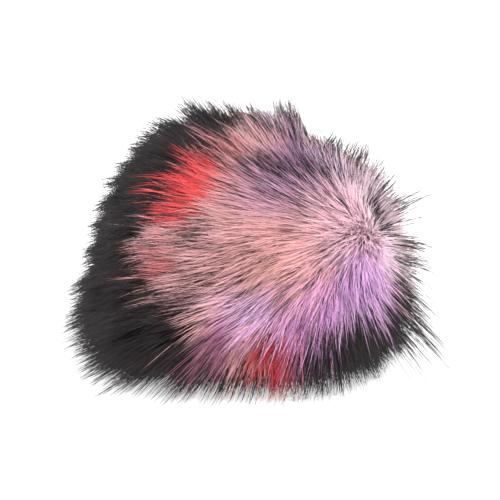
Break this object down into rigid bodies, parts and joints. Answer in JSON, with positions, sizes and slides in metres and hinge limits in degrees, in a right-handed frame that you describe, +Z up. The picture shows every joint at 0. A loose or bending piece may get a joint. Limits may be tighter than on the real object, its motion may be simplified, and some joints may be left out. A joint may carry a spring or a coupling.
{
  "type": "faux fur pom pom",
  "caption": "Round fluffy faux-fur pom pom, its long dyed pile combed away from a whorl and spread where it rests.",
  "frame": {"origin": "on the surface that the pom pom rests on, under the middle of its outline", "axes": "+Z up; the front, with the whorl of the pile, faces -Y; +X runs from left to right"},
  "size_m": [0.13, 0.126, 0.096],
  "materials": {
    "fur": "long soft pile"
  },
  "bodies": {
    "root": {"fur_ball": "fur"}
  },
  "joints": []
}
